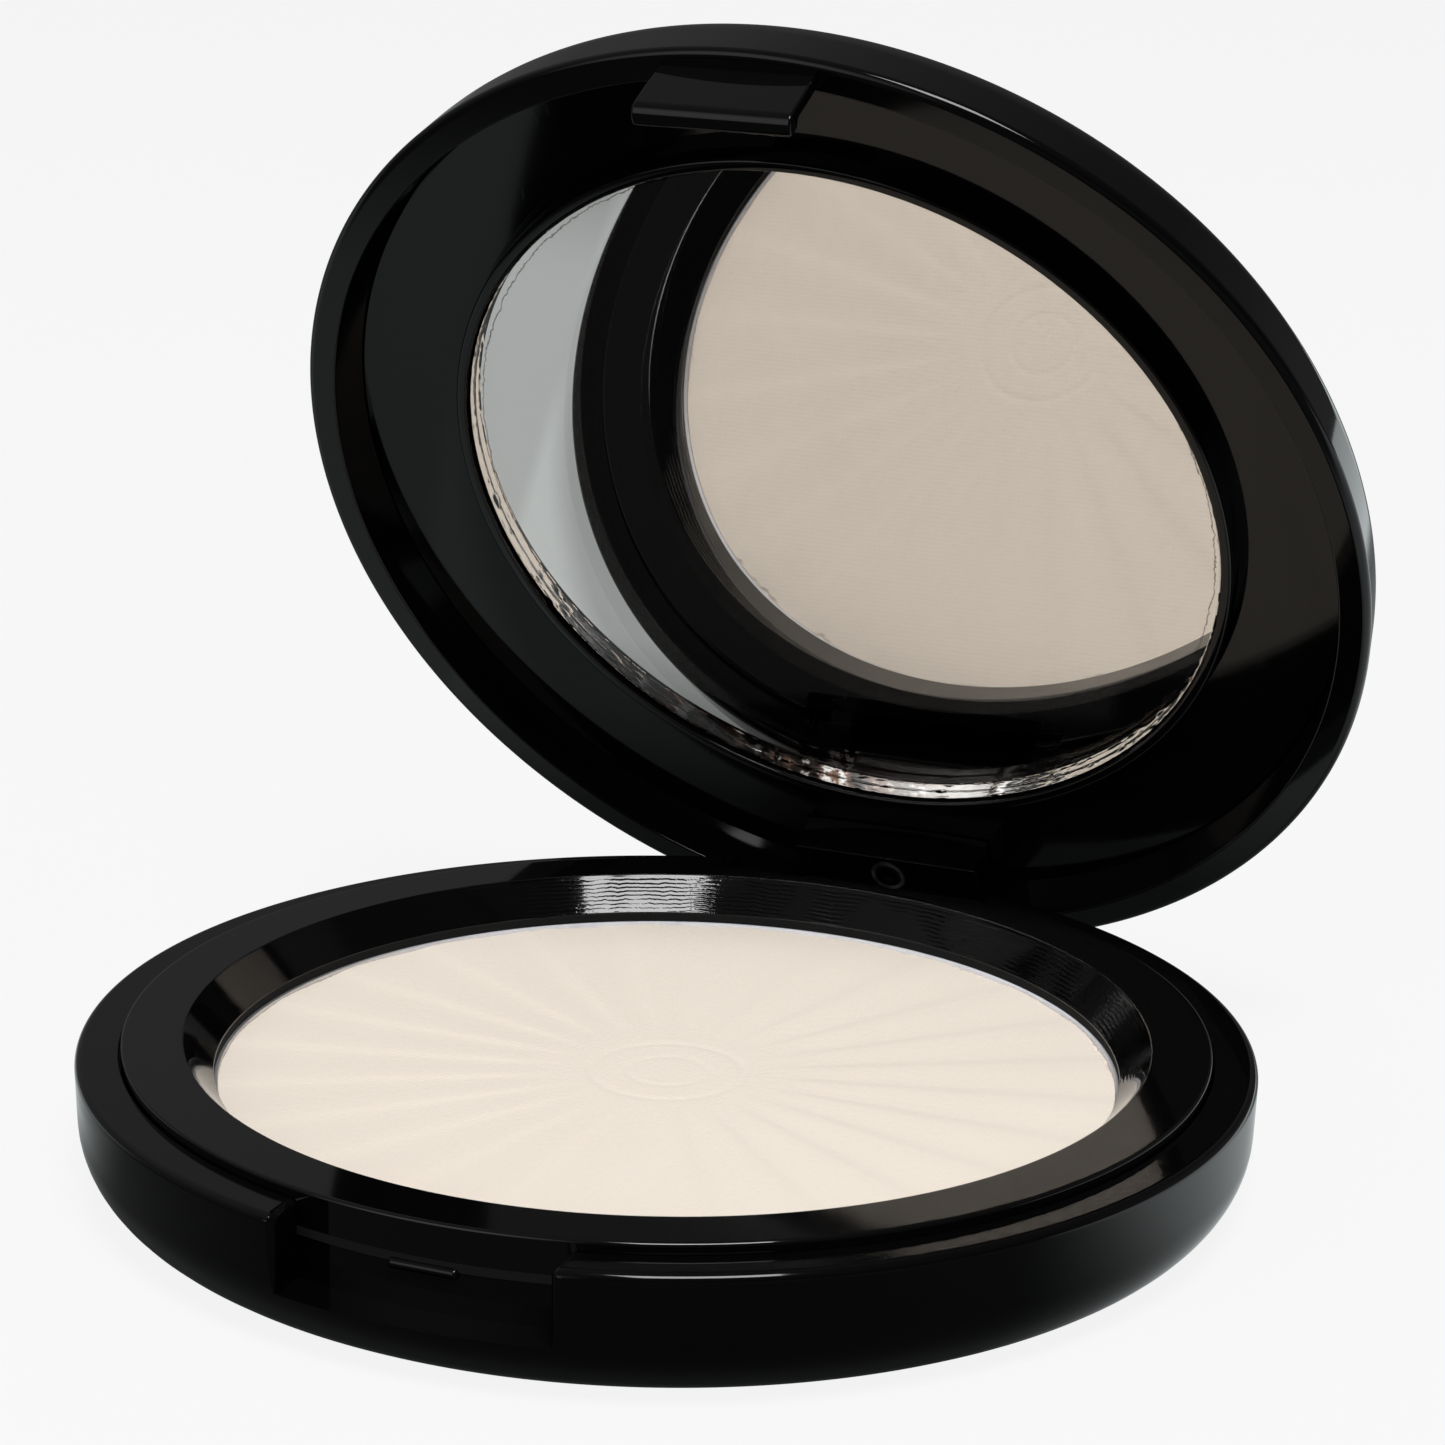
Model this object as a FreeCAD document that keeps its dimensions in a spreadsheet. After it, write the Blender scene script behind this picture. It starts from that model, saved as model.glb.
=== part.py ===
"""Round powder compact with a hinged mirror lid, modelled open as it stands in use.

Z is up and the underside rests on Z = 0, centred on the origin. The hinge is at the back (+Y)
and the latch at the front (-Y). The lid's pieces are drawn closed and then turned about the
hinge axis by open_angle, through their Placement. Every size is in millimetres.
"""
import FreeCAD, Part
import math
import os
import Sketcher

DRIVING = [
    # the closed case
    ("base_radius", 38.2, "outer radius of the base at its rim"),
    ("base_draft", 0.3, "how far the base's wall leans in towards the bottom"),
    ("base_height", 8.8, "underside to the flat rim"),
    ("base_corner", 5.0, "rounding of the base's bottom edge"),
    ("edge_round", 0.6, "rounding of the base's rim"),
    ("floor", 2.1, "thickness of the floor under the pan"),
    ("seat_height", 6.6, "underside to the seat of the pan frame"),
    ("snug", 0.1, "gap round a piece that drops into its seat"),
    # the pan frame, the raised ring round the powder
    ("ring_radius", 35.25, "outer radius of the raised ring"),
    ("ring_rise", 0.7, "how far the ring stands above the rim"),
    ("well_radius", 31.3, "top radius of the sloping side of the well"),
    ("lip_radius", 29.35, "bottom radius of the sloping side"),
    ("lip_drop", 1.55, "rim to the bottom of the sloping side"),
    # the powder in its metal pan
    ("pan_radius", 29.5, "outer radius of the standard 59 mm pan"),
    ("pan_height", 4.0, "height of the pan"),
    ("pan_drop", 2.25, "rim to the pan's top edge"),
    ("pan_sheet", 0.35, "thickness of the pan's sheet"),
    ("powder_drop", 0.1, "pan's top edge to the powder"),
    # the lid
    ("lid_radius", 38.5, "outer radius of the lid"),
    ("lid_draft", 1.1, "how far the lid's wall leans in towards its top"),
    ("lid_wall_height", 6.5, "lid's rim to the start of its dome"),
    ("lid_height", 9.0, "lid's rim to the top of its dome"),
    ("lid_corner", 4.3, "rounding between the lid's wall and its dome"),
    ("lid_gap", 0.2, "gap between the two rims when closed"),
    ("lid_sheet", 1.6, "thickness of the lid's dome"),
    ("rim_inner", 36.3, "inner radius of the lid's rim"),
    ("recess_radius", 35.7, "radius at the bottom of the lid's recess"),
    ("recess_depth", 3.5, "lid's rim to the plate, at the plate's edge"),
    ("lid_rim_round", 0.3, "rounding of the lid's rim"),
    # the mirror and its frame
    ("frame_rise", 0.9, "how much deeper the plate is at the mirror than at its edge"),
    ("frame_thickness", 1.2, "thickness of the plate"),
    ("bezel_radius", 28.3, "outer radius of the raised bezel"),
    ("bezel_depth", 2.8, "lid's rim to the top of the bezel"),
    ("mirror_radius", 27.4, "radius of the glass"),
    ("mirror_depth", 3.25, "lid's rim to the face of the glass"),
    ("glass_thickness", 1.6, "thickness of the glass"),
    ("silver_thickness", 0.05, "thickness of the silvered coat"),
    ("glue_thickness", 0.25, "thickness of the mirror's adhesive"),
    ("backing", 0.8, "thickness of the frame behind the mirror"),
    # the hinge
    ("hinge_back", 35.1, "centre to the hinge axis"),
    ("hinge_height", 3.05, "underside to the hinge axis"),
    ("pin_radius", 0.8, "radius of the hinge pin"),
    ("pin_half", 10.0, "half the length of the pin"),
    ("barrel_radius", 2.0, "radius of the lug's barrel"),
    ("lug_half", 7.0, "half the width of the lug"),
    ("lug_play", 0.3, "gap at each side of the lug"),
    ("pocket_front", 32.3, "centre to the front wall of the hinge pocket"),
    ("pocket_floor", 0.75, "underside to the floor of the hinge pocket"),
    ("cutout_half", 10.2, "half the width of the gap in the rim over the hinge"),
    ("land_front", 31.3, "centre to the front edge of the lug's land"),
    ("land_depth", 1.0, "lid's rim to the face of the land"),
    ("gate_radius", 1.35, "radius of the moulding mark on the land"),
    ("gate_depth", 0.12, "depth of the moulding mark"),
    ("open_angle", 63.8, "how far the lid stands open, in degrees"),
    # the latch
    ("notch_half", 8.8, "half the width of the thumb notch"),
    ("notch_radius", 35.2, "radius of the notch's back wall"),
    ("notch_height", 4.95, "height of the notch"),
    ("notch_round", 0.6, "rounding of the notch's upright edges"),
    ("ridge_half", 2.4, "half the length of the catch ridge"),
    ("ridge_radius", 0.35, "radius of the catch ridge"),
    ("ridge_drop", 2.3, "rim to the middle of the ridge"),
    ("hook_half", 5.4, "half the width of the hook"),
    ("hook_face", 37.1, "centre to the hook's outer face"),
    ("hook_thickness", 0.9, "thickness of the hook above its barb"),
    ("hook_reach", 4.95, "lid's rim to the hook's tip"),
    ("hook_round", 0.9, "rounding of the hook's tip"),
    ("barb_height", 1.5, "height of the barb"),
    ("barb_step", 0.45, "how far the barb stands in"),
]


class Size:
    """A length with its value and the spreadsheet expression that gives it."""

    def __init__(self, value, text):
        self.value = value
        self.text = text

    def joined(self, other, sign, value):
        text = other.text if isinstance(other, Size) else str(other)
        return Size(value, "(" + self.text + " " + sign + " " + text + ")")

    def __add__(self, other):
        return self.joined(other, "+", self.value + number(other))

    def __sub__(self, other):
        return self.joined(other, "-", self.value - number(other))

    def __mul__(self, other):
        return self.joined(other, "*", self.value * number(other))

    def __neg__(self):
        return Size(-self.value, "(0 - " + self.text + ")")


def number(size):
    """The plain number behind a Size or a number."""
    return size.value if isinstance(size, Size) else float(size)


def fill_sheet(doc):
    """Write the driving sizes to the sheet and hand them back by name."""
    sheet = doc.addObject("Spreadsheet::Sheet", "Sizes")
    sizes = {}
    for row, (name, value, note) in enumerate(DRIVING, start=1):
        sheet.set("A" + str(row), note)
        sheet.set("B" + str(row), str(value))
        sheet.setAlias("B" + str(row), name)
        sizes[name] = Size(value, "Sizes." + name)
    doc.recompute()
    return sizes


DOC = FreeCAD.newDocument("powder_compact")
SIZE = fill_sheet(DOC)
CENTRE = Size(0.0, "0")

LID_RIM = SIZE["base_height"] + SIZE["lid_gap"]
RING_TOP = SIZE["base_height"] + SIZE["ring_rise"]
PAN_TOP = SIZE["base_height"] - SIZE["pan_drop"]
PAN_BOTTOM = PAN_TOP - SIZE["pan_height"]
POWDER_TOP = PAN_TOP - SIZE["powder_drop"]
POWDER_RADIUS = SIZE["pan_radius"] - SIZE["pan_sheet"]
WELL_WALL = SIZE["pan_radius"] + 0.25
WELL_WALL_OUTER = WELL_WALL + 1.25
BASE_WALL_INNER = SIZE["notch_radius"] - 1.1
GLASS_FRONT = LID_RIM + SIZE["mirror_depth"]
GLASS_BACK = GLASS_FRONT + SIZE["glass_thickness"]
SILVER_BACK = GLASS_BACK + SIZE["silver_thickness"]
GLUE_BACK = SILVER_BACK + SIZE["glue_thickness"]
MIRROR_POCKET = SIZE["mirror_radius"] + SIZE["snug"]
FRAME_EDGE = LID_RIM + SIZE["recess_depth"]
FRAME_EDGE_BACK = FRAME_EDGE + SIZE["frame_thickness"]
LID_LEDGE = SIZE["recess_radius"] - 0.8
FAR_OUT = SIZE["lid_radius"] + 3


def new_body(name):
    body = DOC.addObject("PartDesign::Body", name)
    body.Label = name
    return body


def plane_of(body, role):
    return [plane for plane in body.Origin.OriginFeatures if plane.Role == role][0]


def new_sketch(body, name, role, offset=None):
    """A sketch on one of the body's own planes, moved along its normal by offset."""
    sketch = body.newObject("Sketcher::SketchObject", name)
    sketch.AttachmentSupport = [(plane_of(body, role), "")]
    sketch.MapMode = "FlatFace"
    if offset is not None:
        sketch.setExpression("AttachmentOffset.Base.z", offset.text)
    return sketch


def pin_point(sketch, line, end, across, up):
    """Hold one end of a line or arc at its place, through the spreadsheet."""
    for kind, axis, size in (("DistanceX", -2, across), ("DistanceY", -1, up)):
        if number(size) == 0.0:
            sketch.addConstraint(Sketcher.Constraint("PointOnObject", line, end, axis))
        else:
            index = sketch.addConstraint(Sketcher.Constraint(kind, -1, 1, line, end, number(size)))
            sketch.setExpression("Constraints[" + str(index) + "]", size.text)


def outline(sketch, corners):
    """A closed outline through the corners, each (across, up) or (across, up, "dome").

    A corner marked "dome" starts an arc to the next corner whose centre is on the upright axis.
    """
    points = [FreeCAD.Vector(number(corner[0]), number(corner[1]), 0) for corner in corners]
    for index, corner in enumerate(corners):
        start, end = points[index], points[(index + 1) % len(points)]
        if len(corner) == 3:
            sketch.addGeometry(dome_arc(start, end))
        else:
            sketch.addGeometry(Part.LineSegment(start, end))
    for index, corner in enumerate(corners):
        following = (index + 1) % len(corners)
        end_of_this = 2
        start_of_next = 1
        if len(corner) == 3 and points[index].x < points[following].x:
            end_of_this = 1
        if len(corners[following]) == 3 and points[following].x < points[(following + 1) % len(points)].x:
            start_of_next = 2
        sketch.addConstraint(Sketcher.Constraint("Coincident", index, end_of_this, following, start_of_next))
        if len(corner) == 3:
            sketch.addConstraint(Sketcher.Constraint("PointOnObject", index, 3, -2))
        own_start = 2 if end_of_this == 1 else 1
        pin_point(sketch, index, own_start, corner[0], corner[1])


def dome_arc(start, end):
    """The arc between two points whose centre is on the upright axis, run anticlockwise."""
    rise = end.y - start.y
    centre_up = (start.y + end.y) / 2 + (end.x ** 2 - start.x ** 2) / (2 * rise)
    centre = FreeCAD.Vector(0, centre_up, 0)
    radius = (start - centre).Length
    angles = sorted(math.atan2(point.y - centre_up, point.x) for point in (start, end))
    return Part.ArcOfCircle(Part.Circle(centre, FreeCAD.Vector(0, 0, 1), radius), angles[0], angles[1])


def revolve(body, name, corners, groove=False):
    """Turn an outline drawn on the XZ plane once round the Z axis."""
    sketch = new_sketch(body, name + "_outline", "XZ_Plane")
    outline(sketch, corners)
    kind = "PartDesign::Groove" if groove else "PartDesign::Revolution"
    feature = body.newObject(kind, name)
    feature.Profile = sketch
    feature.ReferenceAxis = (sketch, ["V_Axis"])
    feature.Angle = 360
    DOC.recompute()
    return feature


def pad_along_x(body, name, corners, half_width):
    """Pad an outline drawn on the YZ plane to both sides of the middle."""
    sketch = new_sketch(body, name + "_outline", "YZ_Plane")
    outline(sketch, corners)
    pad = body.newObject("PartDesign::Pad", name)
    pad.Profile = sketch
    pad.SideType = "Symmetric"
    pad.setExpression("Length", (half_width * 2).text)
    DOC.recompute()
    return pad


def rectangle(half_width, near, far):
    """Corners of a rectangle across the middle, from near to far."""
    return [(-half_width, near), (half_width, near), (half_width, far), (-half_width, far)]


def pocket_down(body, name, corners, top, depth):
    """Cut an outline drawn at height top downwards by depth."""
    sketch = new_sketch(body, name + "_outline", "XY_Plane", top)
    outline(sketch, corners)
    return cut_sketch(body, name, sketch, depth)


def cut_sketch(body, name, sketch, depth):
    before = body.Shape.Volume
    pocket = body.newObject("PartDesign::Pocket", name)
    pocket.Profile = sketch
    pocket.setExpression("Length", depth.text)
    DOC.recompute()
    if body.Shape.Volume > before - 0.01:
        raise RuntimeError(name + " cuts nothing")
    return pocket


def bore_along_x(body, name, radius, left, right):
    """Cut the hinge bore from left of the middle to right of it."""
    sketch = new_sketch(body, name + "_outline", "YZ_Plane")
    hinge_circle(sketch, radius)
    pocket = body.newObject("PartDesign::Pocket", name)
    pocket.Profile = sketch
    pocket.SideType = "Two sides"
    pocket.setExpression("Length", left.text)
    pocket.setExpression("Length2", right.text)
    DOC.recompute()
    return pocket


def hinge_circle(sketch, radius):
    """A circle round the hinge axis on a YZ sketch."""
    centre = FreeCAD.Vector(number(SIZE["hinge_back"]), number(SIZE["hinge_height"]), 0)
    sketch.addGeometry(Part.Circle(centre, FreeCAD.Vector(0, 0, 1), number(radius)))
    pin_point(sketch, 0, 3, SIZE["hinge_back"], SIZE["hinge_height"])
    index = sketch.addConstraint(Sketcher.Constraint("Radius", 0, number(radius)))
    sketch.setExpression("Constraints[" + str(index) + "]", radius.text)


def round_edges(body, name, radius, wanted):
    """Fillet the edges of the body that the test wanted picks."""
    DOC.recompute()
    tip = body.Tip
    names = ["Edge" + str(i + 1) for i, edge in enumerate(tip.Shape.Edges) if wanted(edge)]
    if not names:
        raise RuntimeError(name + " finds no edge")
    fillet = body.newObject("PartDesign::Fillet", name)
    fillet.Base = (tip, names)
    fillet.setExpression("Radius", radius.text)
    DOC.recompute()
    return fillet


def ring_edge(radius, height):
    """A test for the round edges of one radius about the Z axis, at one height."""
    def wanted(edge):
        if edge.Degenerated or not isinstance(edge.Curve, Part.Circle):
            return False
        if abs(edge.Curve.Axis.z) < 0.99:
            return False
        same_radius = abs(edge.Curve.Radius - number(radius)) < 0.01
        return same_radius and abs(edge.Curve.Center.z - number(height)) < 0.01
    return wanted


def upright_edge(across, radius):
    """A test for the upright edges at one distance across the middle and one radius out."""
    def wanted(edge):
        box = edge.BoundBox
        if box.XLength > 0.4 or box.YLength > 0.4 or box.ZLength < 1.0:
            return False
        middle = edge.CenterOfMass
        same_radius = abs(math.hypot(middle.x, middle.y) - number(radius)) < 0.4
        return same_radius and middle.y < 0 and abs(abs(middle.x) - number(across)) < 0.05
    return wanted


def base_shell():
    """Moulded base: rim, cavity, well for the pan, hinge pocket, thumb notch and catch ridge."""
    body = new_body("base_shell")
    revolve(body, "base_turned", [
        (CENTRE, CENTRE),
        (SIZE["base_radius"] - SIZE["base_draft"], CENTRE),
        (SIZE["base_radius"], SIZE["base_height"]),
        (SIZE["ring_radius"] + SIZE["snug"], SIZE["base_height"]),
        (SIZE["ring_radius"] + SIZE["snug"], SIZE["seat_height"]),
        (BASE_WALL_INNER, SIZE["seat_height"]),
        (BASE_WALL_INNER, SIZE["floor"]),
        (WELL_WALL_OUTER, SIZE["floor"]),
        (WELL_WALL_OUTER, SIZE["seat_height"]),
        (WELL_WALL, SIZE["seat_height"]),
        (WELL_WALL, SIZE["floor"]),
        (CENTRE, SIZE["floor"]),
    ])
    round_edges(body, "base_bottom_round", SIZE["base_corner"],
                ring_edge(SIZE["base_radius"] - SIZE["base_draft"], CENTRE))
    round_edges(body, "base_rim_round", SIZE["edge_round"],
                ring_edge(SIZE["base_radius"], SIZE["base_height"]))
    pad_along_x(body, "hinge_block", [
        (WELL_WALL_OUTER - 0.3, SIZE["floor"] - 0.5),
        (BASE_WALL_INNER + 0.6, SIZE["floor"] - 0.5),
        (BASE_WALL_INNER + 0.6, SIZE["seat_height"]),
        (WELL_WALL_OUTER - 0.3, SIZE["seat_height"]),
    ], SIZE["cutout_half"] + 1.3)
    pocket_down(body, "rim_cutout", rectangle(SIZE["cutout_half"], SIZE["pocket_front"], FAR_OUT),
                SIZE["base_height"] + 1, SIZE["base_height"] + 1 - SIZE["seat_height"])
    pocket_half = SIZE["lug_half"] + SIZE["lug_play"]
    pocket_down(body, "hinge_pocket", rectangle(pocket_half, SIZE["pocket_front"], FAR_OUT),
                SIZE["base_height"] + 1, SIZE["base_height"] + 1 - SIZE["pocket_floor"])
    bore_along_x(body, "pin_bore", SIZE["pin_radius"], SIZE["pin_half"] + SIZE["snug"],
                 SIZE["base_radius"] * 0.5)
    thumb_notch(body)
    round_edges(body, "notch_edges", SIZE["notch_round"],
                upright_edge(SIZE["notch_half"], SIZE["base_radius"]))
    catch_ridge(body)
    return body


def thumb_notch(body):
    """Cut the notch from the rim down, back to an arc about the centre."""
    top = SIZE["base_height"] + 1
    sketch = new_sketch(body, "notch_outline", "XY_Plane", top)
    half, radius = number(SIZE["notch_half"]), number(SIZE["notch_radius"])
    front = -number(FAR_OUT)
    back = -math.sqrt(radius ** 2 - half ** 2)
    lean = math.atan2(half, -back)
    up = FreeCAD.Vector(0, 0, 1)
    sketch.addGeometry(Part.ArcOfCircle(Part.Circle(FreeCAD.Vector(), up, radius),
                                        -math.pi / 2 - lean, -math.pi / 2 + lean))
    corners = [FreeCAD.Vector(half, back, 0), FreeCAD.Vector(half, front, 0),
               FreeCAD.Vector(-half, front, 0), FreeCAD.Vector(-half, back, 0)]
    for start, end in zip(corners, corners[1:]):
        sketch.addGeometry(Part.LineSegment(start, end))
    sketch.addConstraint(Sketcher.Constraint("Coincident", 0, 3, -1, 1))
    for first, second in (((0, 2), (1, 1)), ((1, 2), (2, 1)), ((2, 2), (3, 1)), ((3, 2), (0, 1))):
        sketch.addConstraint(Sketcher.Constraint("Coincident", *first, *second))
    sketch.addConstraint(Sketcher.Constraint("Vertical", 1))
    sketch.addConstraint(Sketcher.Constraint("Vertical", 3))
    pin_point(sketch, 2, 1, SIZE["notch_half"], -FAR_OUT)
    pin_point(sketch, 2, 2, -SIZE["notch_half"], -FAR_OUT)
    index = sketch.addConstraint(Sketcher.Constraint("Radius", 0, radius))
    sketch.setExpression("Constraints[" + str(index) + "]", SIZE["notch_radius"].text)
    return cut_sketch(body, "thumb_notch", sketch, SIZE["notch_height"] + 1)


def catch_ridge(body):
    """A half-round ridge on the notch's back wall, which the hook's barb sits under."""
    sketch = new_sketch(body, "ridge_outline", "YZ_Plane")
    back = -SIZE["notch_radius"]
    height = SIZE["base_height"] - SIZE["ridge_drop"]
    centre = FreeCAD.Vector(number(back), number(height), 0)
    sketch.addGeometry(Part.Circle(centre, FreeCAD.Vector(0, 0, 1), number(SIZE["ridge_radius"])))
    pin_point(sketch, 0, 3, back, height)
    index = sketch.addConstraint(Sketcher.Constraint("Radius", 0, number(SIZE["ridge_radius"])))
    sketch.setExpression("Constraints[" + str(index) + "]", SIZE["ridge_radius"].text)
    ridge = body.newObject("PartDesign::Pad", "catch_ridge")
    ridge.Profile = sketch
    ridge.SideType = "Symmetric"
    ridge.setExpression("Length", (SIZE["ridge_half"] * 2).text)
    DOC.recompute()
    return ridge


def pan_frame():
    """Snap-in ring: flat raised top, sloping side of the well, and a lip over the pan's edge."""
    body = new_body("pan_frame")
    lip_height = SIZE["base_height"] - SIZE["lip_drop"]
    revolve(body, "frame_turned", [
        (SIZE["lip_radius"], SIZE["seat_height"]),
        (SIZE["ring_radius"], SIZE["seat_height"]),
        (SIZE["ring_radius"], RING_TOP),
        (SIZE["well_radius"], RING_TOP),
        (SIZE["lip_radius"], lip_height),
    ])
    pocket_down(body, "frame_cutout", rectangle(SIZE["cutout_half"], SIZE["pocket_front"], FAR_OUT),
                RING_TOP + 1, RING_TOP + 1)
    round_edges(body, "frame_outer_round", SIZE["snug"] * 2.5, ring_edge(SIZE["ring_radius"], RING_TOP))
    round_edges(body, "frame_inner_round", SIZE["snug"] * 3, ring_edge(SIZE["well_radius"], RING_TOP))
    return body


def powder_pan():
    """Shallow round pan of thin sheet."""
    body = new_body("powder_pan")
    revolve(body, "pan_turned", [
        (CENTRE, PAN_BOTTOM),
        (SIZE["pan_radius"], PAN_BOTTOM),
        (SIZE["pan_radius"], PAN_TOP),
        (POWDER_RADIUS, PAN_TOP),
        (POWDER_RADIUS, PAN_BOTTOM + SIZE["pan_sheet"]),
        (CENTRE, PAN_BOTTOM + SIZE["pan_sheet"]),
    ])
    round_edges(body, "pan_bottom_round", SIZE["pan_sheet"] * 2, ring_edge(SIZE["pan_radius"], PAN_BOTTOM))
    return body


def disc(name, radius, bottom, top):
    """A plain disc about the Z axis."""
    body = new_body(name)
    revolve(body, name + "_turned", [(CENTRE, bottom), (radius, bottom), (radius, top), (CENTRE, top)])
    return body


def hinge_pin():
    """Steel pin along X, pressed into the base's cheeks and running free in the lug."""
    body = new_body("hinge_pin")
    sketch = new_sketch(body, "pin_outline", "YZ_Plane")
    hinge_circle(sketch, SIZE["pin_radius"])
    pad = body.newObject("PartDesign::Pad", "pin_rod")
    pad.Profile = sketch
    pad.SideType = "Symmetric"
    pad.setExpression("Length", (SIZE["pin_half"] * 2).text)
    DOC.recompute()
    return body


def lid_shell():
    """Moulded lid: domed top, flat rim, recess, hook at the front and hinge lug at the back."""
    body = new_body("lid_shell")
    dome_inside = LID_RIM + SIZE["lid_height"] - SIZE["lid_sheet"]
    revolve(body, "lid_turned", [
        (SIZE["rim_inner"], LID_RIM),
        (SIZE["lid_radius"], LID_RIM),
        (SIZE["lid_radius"] - SIZE["lid_draft"], LID_RIM + SIZE["lid_wall_height"], "dome"),
        (CENTRE, LID_RIM + SIZE["lid_height"]),
        (CENTRE, dome_inside, "dome"),
        (LID_LEDGE, FRAME_EDGE_BACK + 0.5),
        (LID_LEDGE, FRAME_EDGE_BACK),
        (SIZE["recess_radius"], FRAME_EDGE_BACK),
        (SIZE["recess_radius"], FRAME_EDGE),
    ])
    round_edges(body, "lid_shoulder", SIZE["lid_corner"],
                ring_edge(SIZE["lid_radius"] - SIZE["lid_draft"], LID_RIM + SIZE["lid_wall_height"]))
    round_edges(body, "lid_rim_round", SIZE["lid_rim_round"], ring_edge(SIZE["lid_radius"], LID_RIM))
    hinge_lug(body)
    hook(body)
    return body


def hinge_lug(body):
    """The land inside the recess, the arm below it, and the barrel round the pin."""
    land = LID_RIM + SIZE["land_depth"]
    arm_back = SIZE["hinge_back"] + SIZE["barrel_radius"]
    arm_front = SIZE["hinge_back"] - 0.3
    pad_along_x(body, "lug_land", [
        (SIZE["land_front"], land),
        (arm_front, land),
        (arm_front, SIZE["hinge_height"]),
        (arm_back, SIZE["hinge_height"]),
        (arm_back, FRAME_EDGE),
        (SIZE["recess_radius"] - 0.4, FRAME_EDGE_BACK + 0.3),
        (SIZE["land_front"], FRAME_EDGE_BACK + 0.3),
    ], SIZE["lug_half"])
    sketch = new_sketch(body, "barrel_outline", "YZ_Plane")
    hinge_circle(sketch, SIZE["barrel_radius"])
    barrel = body.newObject("PartDesign::Pad", "lug_barrel")
    barrel.Profile = sketch
    barrel.SideType = "Symmetric"
    barrel.setExpression("Length", (SIZE["lug_half"] * 2).text)
    DOC.recompute()
    bore_along_x(body, "lug_bore", SIZE["pin_radius"] + SIZE["snug"] * 0.5,
                 SIZE["lug_half"] + 1, SIZE["lug_half"] + 1)
    gate_mark(body, land)


def gate_mark(body, land):
    """A shallow round moulding mark in the face of the land."""
    sketch = new_sketch(body, "gate_outline", "XY_Plane", land)
    middle = SIZE["pocket_front"] + 1.1
    centre = FreeCAD.Vector(0, number(middle), 0)
    sketch.addGeometry(Part.Circle(centre, FreeCAD.Vector(0, 0, 1), number(SIZE["gate_radius"])))
    pin_point(sketch, 0, 3, CENTRE, middle)
    index = sketch.addConstraint(Sketcher.Constraint("Radius", 0, number(SIZE["gate_radius"])))
    sketch.setExpression("Constraints[" + str(index) + "]", SIZE["gate_radius"].text)
    before = body.Shape.Volume
    pocket = body.newObject("PartDesign::Pocket", "gate_mark")
    pocket.Profile = sketch
    pocket.Reversed = True
    pocket.setExpression("Length", SIZE["gate_depth"].text)
    DOC.recompute()
    if body.Shape.Volume > before - 0.01:
        raise RuntimeError("gate_mark cuts nothing")


def hook(body):
    """The tab at the front of the lid, with a barb turned in towards the catch ridge."""
    face = -SIZE["hook_face"]
    inner = face + SIZE["hook_thickness"]
    tip = LID_RIM - SIZE["hook_reach"]
    pad_along_x(body, "hook_tab", [
        (face, LID_RIM + 1),
        (face, tip),
        (inner + SIZE["barb_step"] - 0.2, tip),
        (inner + SIZE["barb_step"], tip + 0.5),
        (inner + SIZE["barb_step"], tip + SIZE["barb_height"] - 0.4),
        (inner, tip + SIZE["barb_height"]),
        (inner, LID_RIM + 1),
    ], SIZE["hook_half"])
    round_edges(body, "hook_tip_round", SIZE["hook_round"], hook_tip_edge)


def hook_tip_edge(edge):
    """The long lower edge of the hook's outer face."""
    middle = edge.CenterOfMass
    tip = number(LID_RIM - SIZE["hook_reach"])
    on_face = abs(middle.y + number(SIZE["hook_face"])) < 0.05
    return on_face and abs(middle.z - tip) < 0.05 and edge.BoundBox.XLength > 5


def mirror_frame():
    """Plate inside the lid, dished towards the mirror, with a raised bezel round the glass."""
    body = new_body("mirror_frame")
    frame_radius = SIZE["recess_radius"] - SIZE["snug"]
    plate_inner = FRAME_EDGE + SIZE["frame_rise"]
    bezel_top = LID_RIM + SIZE["bezel_depth"]
    back = GLUE_BACK + SIZE["backing"]
    revolve(body, "plate_turned", [
        (CENTRE, GLUE_BACK),
        (MIRROR_POCKET, GLUE_BACK),
        (MIRROR_POCKET, bezel_top),
        (SIZE["bezel_radius"], bezel_top),
        (SIZE["bezel_radius"], plate_inner, "dome"),
        (frame_radius, FRAME_EDGE),
        (frame_radius, FRAME_EDGE_BACK),
        (LID_LEDGE - 0.2, FRAME_EDGE_BACK),
        (SIZE["bezel_radius"] + 2, FRAME_EDGE_BACK + 0.5),
        (MIRROR_POCKET, back),
        (CENTRE, back),
    ])
    round_edges(body, "bezel_outer_round", SIZE["snug"] * 2.5, ring_edge(SIZE["bezel_radius"], bezel_top))
    round_edges(body, "bezel_inner_round", SIZE["snug"] * 1.5, ring_edge(MIRROR_POCKET, bezel_top))
    pocket_down(body, "lug_cutout",
                rectangle(SIZE["lug_half"] + SIZE["snug"], SIZE["land_front"] - SIZE["snug"], FAR_OUT),
                back + 1, back)
    return body


def turn_open(body):
    """Turn one of the lid's pieces from closed to open about the hinge axis."""
    axis_point = FreeCAD.Vector(0, number(SIZE["hinge_back"]), number(SIZE["hinge_height"]))
    turn = FreeCAD.Rotation(FreeCAD.Vector(1, 0, 0), -number(SIZE["open_angle"]))
    body.Placement = FreeCAD.Placement(FreeCAD.Vector(), turn, axis_point)


def check_document():
    for item in DOC.Objects:
        if "Invalid" in item.State or "Error" in item.State:
            raise RuntimeError(item.Name + " failed: " + str(item.State))


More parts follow.
